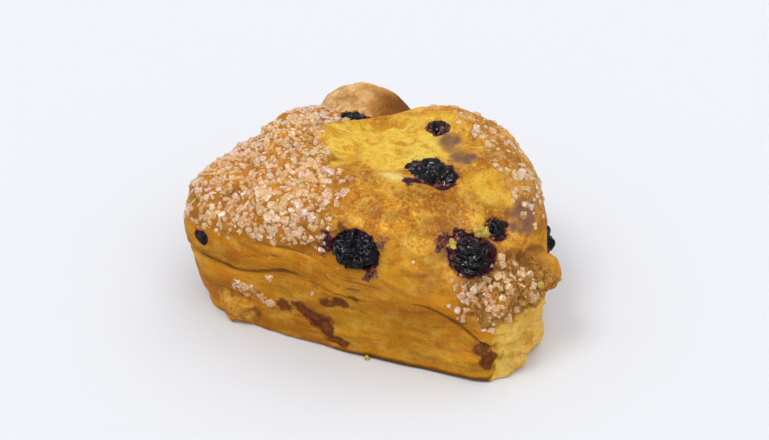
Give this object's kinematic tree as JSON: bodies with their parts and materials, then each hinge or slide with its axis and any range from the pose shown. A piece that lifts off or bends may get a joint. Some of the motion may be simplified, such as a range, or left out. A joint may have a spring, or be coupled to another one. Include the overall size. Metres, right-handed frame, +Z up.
{
  "type": "blueberry scone",
  "caption": "Rounded wedge of baked scone dough with a torn crown, sunk dark berries and coarse sugar grains, resting flat.",
  "frame": {"origin": "middle of the bounding box, on the flat underside", "axes": "+X along the long smooth side towards the torn end, +Y towards the knob at the back, +Z up"},
  "size_m": [0.105, 0.0762, 0.0482],
  "materials": {
    "crust": "golden baked crust, matt to satin, browner on the folds, pale yellow where torn",
    "berry": "near-black wrinkled baked berry skin with wet glints and purple pulp where burst",
    "sugar": "coarse translucent sugar grains, pinkish beige from the baking"
  },
  "bodies": {
    "root": {"scone": "crust", "berry_front": "berry", "berry_top": "berry", "berry_right": "berry", "berry_right_small": "berry", "berry_left_small": "berry", "berry_crown": "berry", "berry_crack": "berry", "berry_side": "berry", "berry_back": "berry", "berry_rear": "berry"}
  },
  "joints": []
}
